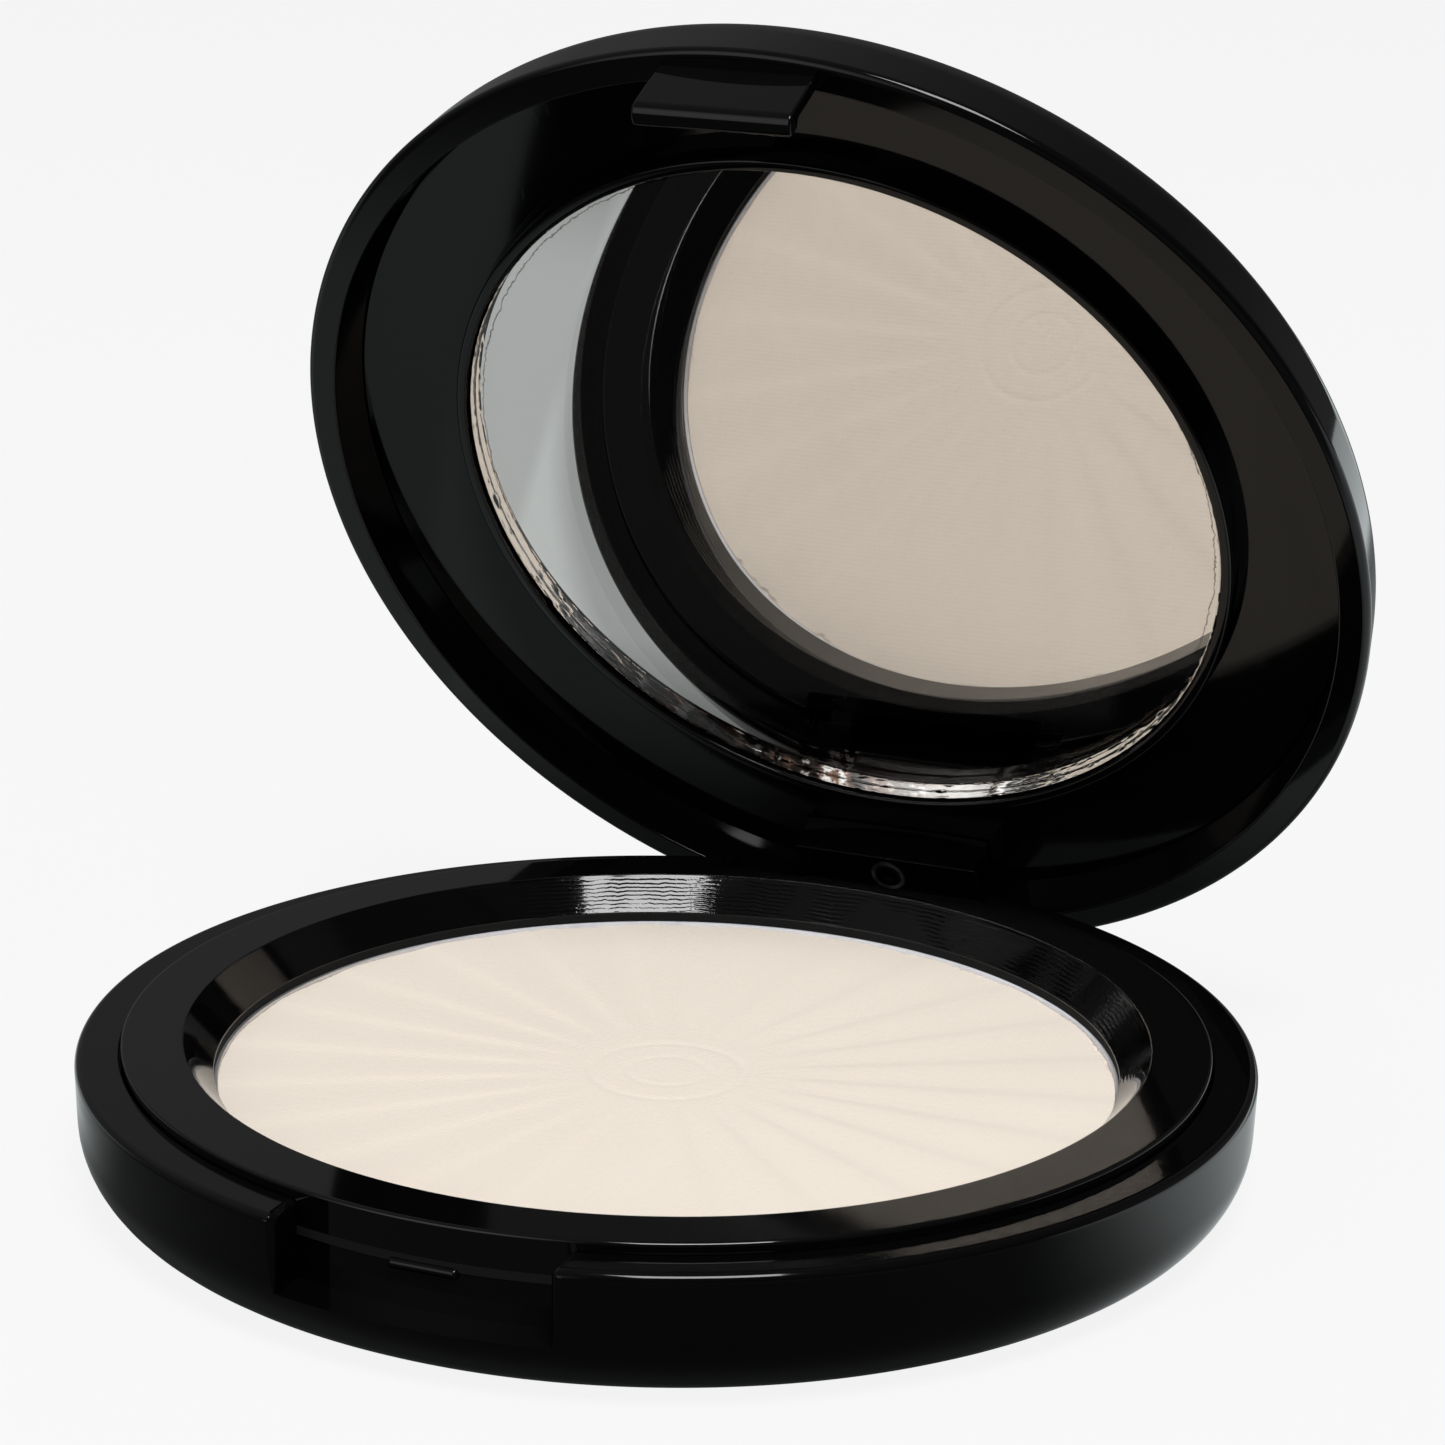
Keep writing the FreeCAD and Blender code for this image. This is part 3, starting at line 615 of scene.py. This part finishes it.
def build_base(material):
    """The base's case, with the hinge's pocket and pin hole, the thumb notch and the catch ridge."""
    outline = rounded([
        (0.0, 0.0), (BASE_FOOT, 0.0, BASE_CORNER), (BASE_RADIUS, BASE_HEIGHT, 0.6),
        (SEAT_RADIUS, BASE_HEIGHT, 0.12), (SEAT_RADIUS, SEAT_HEIGHT), (CAVITY_OUTER, SEAT_HEIGHT),
        (CAVITY_OUTER, FLOOR_TOP), (WELL_WALL[1], FLOOR_TOP), (WELL_WALL[1], SEAT_HEIGHT),
        (WELL_WALL[0], SEAT_HEIGHT), (WELL_WALL[0], FLOOR_TOP), (0.0, FLOOR_TOP)], steps=14)
    base = mesh_object("base_case", turned(outline))
    front, back = HINGE_BLOCK
    hinge_block = block((-HINGE_BLOCK_HALF, front, HINGE_BLOCK_FOOT), (HINGE_BLOCK_HALF, back, SEAT_HEIGHT))
    combine(base, hinge_block, "UNION")
    combine(base, slot_at_back(CUTOUT_HALF, POCKET_FRONT, SEAT_HEIGHT), "DIFFERENCE")
    combine(base, slot_at_back(POCKET_HALF, POCKET_FRONT, POCKET_FLOOR), "DIFFERENCE")
    pin = circle_points((HINGE_Y, HINGE_Z), PIN_RADIUS, PIN_STEPS)
    combine(base, slab_along_x(pin, *PIN_HOLE), "DIFFERENCE")
    combine(base, notch_cutter(), "DIFFERENCE")
    combine(base, catch_ridge(), "UNION")
    settle_piece(base, material, "base", ["base_shell"])


def catch_ridge():
    """A low bar with round ends on the notch's back wall."""
    half, height, radius = RIDGE
    ends = arc_points((0.0, half - radius), radius, 0, 90, 8)
    other = [(r, -z) for r, z in reversed(ends)]
    points, faces = turned(other + ends, 32)
    return [(z, x - NOTCH[1], y + height) for x, y, z in points], faces


def notch_cutter():
    """The notch's space, wider at the top, where it rounds the edges of its two sides."""
    steps = 6
    levels = [(notch_outline(0.0), NOTCH[2])]
    for k in range(steps + 1):
        turn = math.radians(90 / steps * k)
        grow = NOTCH_ROUND * (1 - math.cos(turn))
        levels.append((notch_outline(grow), BASE_HEIGHT - NOTCH_ROUND * (1 - math.sin(turn))))
    levels.append((notch_outline(NOTCH_ROUND), ABOVE_BASE))
    return stack(levels)


def notch_outline(grow):
    """The notch seen from above: an arc at the back, and a flare that rounds its outer corners."""
    half, back, _ = NOTCH
    half += grow
    lean = math.degrees(math.asin(half / back))
    points = arc_points((0.0, 0.0), back, -90 - lean, -90 + lean, 40)
    reach = BASE_RADIUS - NOTCH_ROUND
    flare_y = -math.sqrt(reach ** 2 - (half + NOTCH_ROUND) ** 2)
    flare = arc_points((half + NOTCH_ROUND, flare_y), NOTCH_ROUND, 180, 270 - lean * 0.4, 10)
    right = flare + [(flare[-1][0] + 0.05, -PAST_CASE)]
    left = [(-a, b) for a, b in reversed(right)]
    return points + right + left


def build_pan_frame(material):
    """The raised ring round the powder, with its sloping side."""
    outline = rounded([
        (LIP[0], SEAT_HEIGHT), (RING_RADIUS, SEAT_HEIGHT), (RING_RADIUS, RING_TOP, 0.25),
        (SLOPE_TOP, RING_TOP, 0.18), (*LIP, 0.12)], steps=6)
    ring = mesh_object("well_ring", turned(outline))
    combine(ring, slot_at_back(CUTOUT_HALF, POCKET_FRONT, 5.0), "DIFFERENCE")
    settle_piece(ring, material, "base", ["pan_frame"])


def build_lid(material):
    """The lid's case, with its hook, its hinge lug and the gate mark."""
    top = (0.0, LID_TOP)
    roof = (0.0, LID_ROOF)
    corner_start = 33.5
    outer = [point for point in dome_points(LID_SHOULDER, top, 40) if point[0] < corner_start]
    inner = dome_points(roof, LID_ROOF_EDGE, 24)
    outline = rounded([
        (LID_RIM_INNER, LID_RIM, 0.15), (LID_RADIUS, LID_RIM, 0.55), (*LID_SHOULDER, 4.3), *outer, top,
        roof, *inner, LID_ROOF_EDGE, (LID_ROOF_EDGE[0], LID_SEAT[1]), LID_SEAT,
        (LID_SEAT[0], PLATE_HEIGHT)], steps=14)
    lid = mesh_object("lid_case", turned(outline))
    combine(lid, slab_along_x(hook_outline(), -HOOK_HALF, HOOK_HALF), "UNION", soft=0.32)
    combine(lid, slab_along_x(lug_outline(), -LUG_HALF, LUG_HALF), "UNION", soft=0.12)
    bore = circle_points((HINGE_Y, HINGE_Z), PIN_RADIUS + PIN_PLAY, PIN_STEPS)
    past_lug = LUG_HALF + 1.0
    combine(lid, slab_along_x(bore, -past_lug, past_lug), "DIFFERENCE")
    combine(lid, gate_mark(), "UNION")
    open_lid(lid)
    settle_piece(lid, material, "lid", ["lid_shell"])


def hook_outline():
    """The hook from the side: a flat face, a round tip and a barb on the inner side."""
    inner = -HOOK_FACE + HOOK_THICK
    barb = inner + HOOK_BARB
    root = LID_RIM + 1.0
    return rounded([
        (-HOOK_FACE, root), (-HOOK_FACE, HOOK_TIP, 0.9), (barb, HOOK_TIP, 0.25),
        (barb, HOOK_TIP + 1.1, 0.2), (inner, HOOK_TIP + 1.5), (inner, root)], steps=8)


def lug_outline():
    """The hinge lug from the side: the land in the recess, the arm and the barrel."""
    arm = HINGE_Y - 0.3
    inside_lid = 14.0
    meets = math.degrees(math.acos((arm - HINGE_Y) / BARREL_RADIUS))
    land = rounded([(LAND_FRONT, LAND_HEIGHT, 0.15), (arm, LAND_HEIGHT), (arm, HINGE_Z + 3.0)], steps=5)
    barrel = arc_points((HINGE_Y, HINGE_Z), BARREL_RADIUS, meets, 360, 40)
    back = [(HINGE_Y + BARREL_RADIUS, PLATE_HEIGHT), (HINGE_Y + 0.2, inside_lid)]
    return [(LAND_FRONT, inside_lid)] + land[:-1] + barrel + back


def gate_mark():
    """A low round rim with a dimple in it, left by the mould on the lug's land."""
    middle, radius = GATE_MARK
    rim = LAND_HEIGHT - GATE_RIM
    buried = LAND_HEIGHT + 0.3
    hollow = LAND_HEIGHT - 0.01
    rim_inner = radius - 0.28
    dish = (radius - 0.5, 0.45)
    outline = rounded([
        (0.0, buried), (radius, buried), (radius, rim, 0.06), (rim_inner, rim, 0.08),
        (dish[0], hollow), (dish[1], hollow), (0.0, rim)], steps=4)
    points, faces = turned(outline, 64)
    return [(x, y + middle, z) for x, y, z in points], faces


def build_mirror_frame(material):
    """The plate inside the lid, with the raised bezel round the glass."""
    plate = dome_points((BEZEL_OUTER, PLATE_AT_BEZEL), (PLATE_RADIUS, PLATE_HEIGHT), 16)
    front, back = BACKING
    outline = rounded([
        (0.0, front), (BEZEL_INNER, front), (BEZEL_INNER, BEZEL_HEIGHT, 0.15),
        (BEZEL_OUTER, BEZEL_HEIGHT, 0.25), (BEZEL_OUTER, PLATE_AT_BEZEL), *plate,
        (PLATE_RADIUS, PLATE_HEIGHT), (PLATE_RADIUS, LID_SEAT[1]), *BACK_BENDS,
        (BEZEL_INNER, back), (0.0, back)], steps=6)
    ring = mesh_object("mirror_surround", turned(outline))
    combine(ring, slot_at_back(LUG_HALF + 0.1, LAND_FRONT - 0.1, 10.0, 18.0), "DIFFERENCE")
    open_lid(ring)
    settle_piece(ring, material, "lid", ["mirror_frame"])


def nibble(angle, height):
    """How far the glass's cut edge is chipped in at an angle and height."""
    spot = Vector((math.cos(angle), math.sin(angle), 0)) * 27
    fine = noise.noise(spot * 1.7 + Vector((0, 0, height * 2.2))) * 0.035
    broad = noise.noise(spot * 0.9 + Vector((9.0, 0, height)))
    return abs(fine + max(0.0, broad - 0.25) * 0.30)


def build_glass(material):
    """The mirror's glass: a cut disc with a nibbled edge, thick enough to show its rim."""
    chamfer_top = GLASS_FRONT + 0.08
    levels = [(GLASS_RADIUS - 0.10, GLASS_FRONT), (GLASS_RADIUS - 0.02, chamfer_top)]
    levels += [(GLASS_RADIUS, chamfer_top + GLASS_ROW * k) for k in range(1, GLASS_ROWS + 1)]
    levels += [(GLASS_RADIUS - 0.04, GLASS_BACK)]
    points, faces = [], []
    for level, (radius, height) in enumerate(levels):
        for k in range(GLASS_STEPS):
            angle = 2 * math.pi * k / GLASS_STEPS
            out = radius - nibble(angle, height) * (level > 1)
            points.append((out * math.cos(angle), out * math.sin(angle), height))
    for first in range(0, len(points) - GLASS_STEPS, GLASS_STEPS):
        for k in range(GLASS_STEPS):
            following = (k + 1) % GLASS_STEPS
            faces.append((first + k, first + following,
                          first + GLASS_STEPS + following, first + GLASS_STEPS + k))
    faces.append(tuple(range(GLASS_STEPS)))
    faces.append(tuple(range(len(points) - 1, len(points) - GLASS_STEPS - 1, -1)))
    glass = mesh_object("mirror_slab", (points, faces))
    open_lid(glass)
    settle_piece(glass, material, "lid", ["mirror_glass"], sharp=40.0)


def smooth_step(low, high, value):
    """0 below low and 1 above high, with a gentle start and end."""
    t = np.clip((value - low) / (high - low), 0.0, 1.0)
    return t * t * (3 - 2 * t)


def ray_relief(radius, angle):
    """The sunburst: each ray falls steeply after its crest and climbs slowly to the next."""
    turn = ((angle + RAY_PHASE) * RAY_COUNT / (2 * math.pi)) % 1.0
    wave = np.where(turn < RAY_STEEP, 0.5 + 0.5 * np.cos(math.pi * turn / RAY_STEEP),
                    0.5 - 0.5 * np.cos(math.pi * (turn - RAY_STEEP) / (1 - RAY_STEEP)))
    grown = smooth_step(RAY_START, RAY_START + RAY_GROWTH, radius)
    grown = grown * (0.45 + 0.55 * radius / POWDER_RADIUS)
    return RAY_DEPTH * grown * (wave - 0.5)


def sun_relief(radius):
    """Plain rings pressed into the middle."""
    depth = np.zeros_like(radius)
    for middle, width, deep in SUN_GROOVES:
        depth -= deep * np.exp(-((radius - middle) / (width * 0.5)) ** 2)
    return depth


def chip_width(angle):
    """How far in the powder's edge has crumbled at an angle, in mm."""
    ring = Vector((math.cos(angle), math.sin(angle), 0)) * POWDER_RADIUS
    fine = noise.noise(ring * 1.9 + Vector((7.3, 0, 0)))
    broad = noise.noise(ring * 0.33 + Vector((0, 4.1, 0)))
    back = max(0.0, math.sin(angle)) ** 0.7
    chips = max(0.0, broad + 0.55 * fine - 0.22) * 0.8 * back
    return 0.03 + 0.05 * abs(fine) + chips


def powder_mesh():
    """The cake's pressed face as a fine polar grid, closed by its side and its flat bottom."""
    face_rows = np.linspace(0.25, 27.6, 130)
    edge_rows = np.linspace(27.75, POWDER_RADIUS, 24)
    around = POWDER_SECTORS
    angles = np.arange(around) * 2 * math.pi / around
    chips = np.array([chip_width(a) for a in angles])
    points = [(0.0, 0.0, POWDER_TOP - 0.02)]
    for radius in np.concatenate([face_rows, edge_rows]):
        rest = np.full(around, radius)
        height = POWDER_FACE + ray_relief(rest, angles) * RAY_SHARE + sun_relief(rest)
        edge = smooth_step(-0.10, 0.16, rest - (POWDER_RADIUS - chips))
        height = height - edge * (0.08 + np.minimum(chips, 0.25))
        for angle, z in zip(angles, height):
            x, y = radius * math.cos(angle), radius * math.sin(angle)
            roughened = noise.noise(Vector((x * 2.2, y * 2.2, 0))) * 0.012
            points.append((x, y, min(z + roughened, POWDER_TOP)))
    for angle in angles:
        points.append((POWDER_RADIUS * math.cos(angle), POWDER_RADIUS * math.sin(angle), POWDER_BOTTOM))
    faces = [(0, 1 + k, 1 + (k + 1) % around) for k in range(around)]
    last = len(points) - around
    for first in range(1, last, around):
        second = first + around
        for k in range(around):
            following = (k + 1) % around
            faces.append((first + k, second + k, second + following, first + following))
    faces.append(tuple(last + k for k in reversed(range(around))))
    return in_metres(points), faces


def build_powder():
    """The pressed powder, smooth all over but for its flat bottom."""
    points, faces = powder_mesh()
    mesh = bpy.data.meshes.new("powder_pressed")
    mesh.from_pydata(points, [], faces)
    mesh.update()
    piece = linked_object("powder_pressed", mesh)
    mesh.materials.append(pressed_powder("pressed_powder"))
    mesh.polygons.foreach_set("use_smooth", [len(face) < 5 for face in faces])
    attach(piece, "base")
    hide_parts("powder_cake")


def finish_surfaces():
    """Build the case and the mirror, and paint the CAD nodes that keep their shape."""
    build_base(gloss_black("case_gloss"))
    build_lid(gloss_black("lid_gloss", gate=True))
    build_pan_frame(gloss_black("frame_gloss", shine=0.3, bevel_chatter=True))
    build_mirror_frame(gloss_black("bezel_gloss"))
    build_glass(clear_glass("mirror_glass"))
    paint("powder_pan", dusted_and_highlit_metal("pan_sheet"))
    paint("hinge_pin", worn_metal("pin_wire", (0.42, 0.42, 0.43, 1), (0.60, 0.60, 0.61, 1), 0.25))
    paint("mirror_silvering", silvering("silvered_coat"))
    glue = dried_glue("dried_glue")
    paint("mirror_adhesive", glue)
    paint("pan_adhesive", glue)


def floor_level(graph):
    """The painted light and shade of the floor as the case sees it: dark in front, brighter on the right, a
    painted shadow behind the case, and painted shade beside the case and under the lid.
    """
    x, y, z = graph.axes()
    along = graph.math("MULTIPLY_ADD", x, -0.08, y)
    level = graph.smooth_spread(along, -0.025, 0.0, 0.04, 0.56)
    level = graph.math("MULTIPLY", level, graph.spread(x, 0.039, 0.055, 1.0, 2.2))
    # A painted shadow: a dark patch on the floor just behind the case.
    behind = graph.distance_to((-0.008, 0.042, 0.0))
    level = graph.math("MULTIPLY", level, graph.spread(behind, 0.006, 0.012, 0.05, 1.0))
    level = graph.math("MULTIPLY", level, beside_case(graph))
    return graph.math("MULTIPLY", level, under_lid(graph))


def beside_case(graph):
    """On the left the floor is a little lighter near the case, and darker where the case shades it."""
    x, y, z = graph.axes()
    light = graph.spread(x, -0.0430, -0.0418, 1.0, 1.24)
    shade = graph.spread(graph.from_upright_axis(), 0.0412, 0.0432, 0.70, 1.0)
    change = graph.math("SUBTRACT", graph.math("MULTIPLY", light, shade), 1.0)
    left = graph.spread(x, -0.030, -0.020, 1.0, 0.0)
    return graph.math("MULTIPLY_ADD", change, left, 1.0)


def under_lid(graph):
    """The floor behind the case is darker, where the open lid shades it."""
    x, y, z = graph.axes()
    shaded = graph.math("MULTIPLY", graph.spread(y, 0.026, 0.034), graph.spread(x, 0.045, 0.060, 1.0, 0.0))
    return graph.math("MULTIPLY_ADD", shaded, -0.72, 1.0)


def build_floor():
    """A floor that is plain and pale to the camera. To everything else it glows, greyer, with painted light
    and shade, and that is what the case reflects.
    """
    half, height = FLOOR_HALF, -FLOOR_GAP
    corners = [(-half, -half, height), (half, -half, height), (half, half, height), (-half, half, height)]
    mesh = bpy.data.meshes.new("floor")
    mesh.from_pydata(corners, [], [(0, 1, 2, 3)])
    floor = linked_object("floor", mesh)
    graph = new_surface("floor")
    # The glow that everything but the camera sees: painted light and shade.
    tinted = {0: (0.93, 1.0, 1.01), "Scale": floor_level(graph)}
    mirrored = graph.vector_math("SCALE", tinted, "Vector")
    seen = graph.add("ShaderNodeLightPath").outputs["Is Camera Ray"]
    graph.set(Emission_Color=graph.blend(seen, mirrored, grey(FLOOR_SEEN)), Emission_Strength=1.0)
    graph.set(Base_Color=grey(0.055), Roughness=1.0, Specular_IOR_Level=0.0)
    mesh.materials.append(graph.owner)


def build_world():
    """Pale to the camera; to the rest a dim room, lighter on the left and dark near the horizon."""
    world = bpy.data.worlds.new("studio")
    bpy.context.scene.world = world
    graph = Graph(world, shader="Background", place="Generated")
    side = graph.lobe((-0.85, 0.0, 0.35), 0.0, 1.0, 0.10, 0.33)
    front = graph.lobe((-0.37, -0.88, 0.31), 0.86, 0.99, 0.0, 1.6)
    right = graph.lobe((0.75, 0.66, 0.0), 0.80, 1.0, 0.0, 0.12)
    height = graph.spread(graph.axes()[2], 0.3, 0.6, 0.55, 1.0)
    level = graph.math("MULTIPLY_ADD", side, height, graph.math("ADD", front, right))
    seen = graph.add("ShaderNodeLightPath").outputs["Is Camera Ray"]
    graph.set(Color=graph.blend(seen, level, grey(ROOM_SEEN)))


def build_key_light():
    """A square softbox that faces the object."""
    lamp = bpy.data.lights.new("key", "AREA")
    lamp.shape = "RECTANGLE"
    lamp.size = KEY_SIZE
    lamp.size_y = KEY_SIZE
    lamp.energy = KEY_RADIANCE * math.pi * KEY_SIZE ** 2
    light = linked_object("key", lamp)
    towards = Vector(KEY_DIRECTION).normalized()
    light.location = towards * KEY_DISTANCE + KEY_AIM
    light.rotation_mode = "QUATERNION"
    light.rotation_quaternion = towards.to_track_quat("Z", "Y")


def build_camera():
    """The camera, turned by its azimuth, elevation and roll."""
    azimuth, elevation = CAMERA_AZIMUTH, CAMERA_ELEVATION
    back = Vector((math.sin(azimuth) * math.cos(elevation), -math.cos(azimuth) * math.cos(elevation),
                   math.sin(elevation)))
    right = Vector((math.cos(azimuth), math.sin(azimuth), 0))
    up = back.cross(right)
    cosine, sine = math.cos(CAMERA_ROLL), math.sin(CAMERA_ROLL)
    turned_right = right * cosine - up * sine
    turned_up = right * sine + up * cosine
    lens = bpy.data.cameras.new("camera")
    lens.lens = CAMERA_LENS
    lens.sensor_width = CAMERA_SENSOR
    lens.clip_start = CAMERA_NEAREST
    camera = linked_object("camera", lens)
    turn = Matrix((turned_right, turned_up, back)).transposed()
    camera.matrix_world = Matrix.Translation(CAMERA_PLACE) @ turn.to_4x4()
    bpy.context.scene.camera = camera


finish_surfaces()
build_powder()
build_floor()
build_world()
build_key_light()
build_camera()
bpy.context.scene.view_settings.view_transform = "Standard"
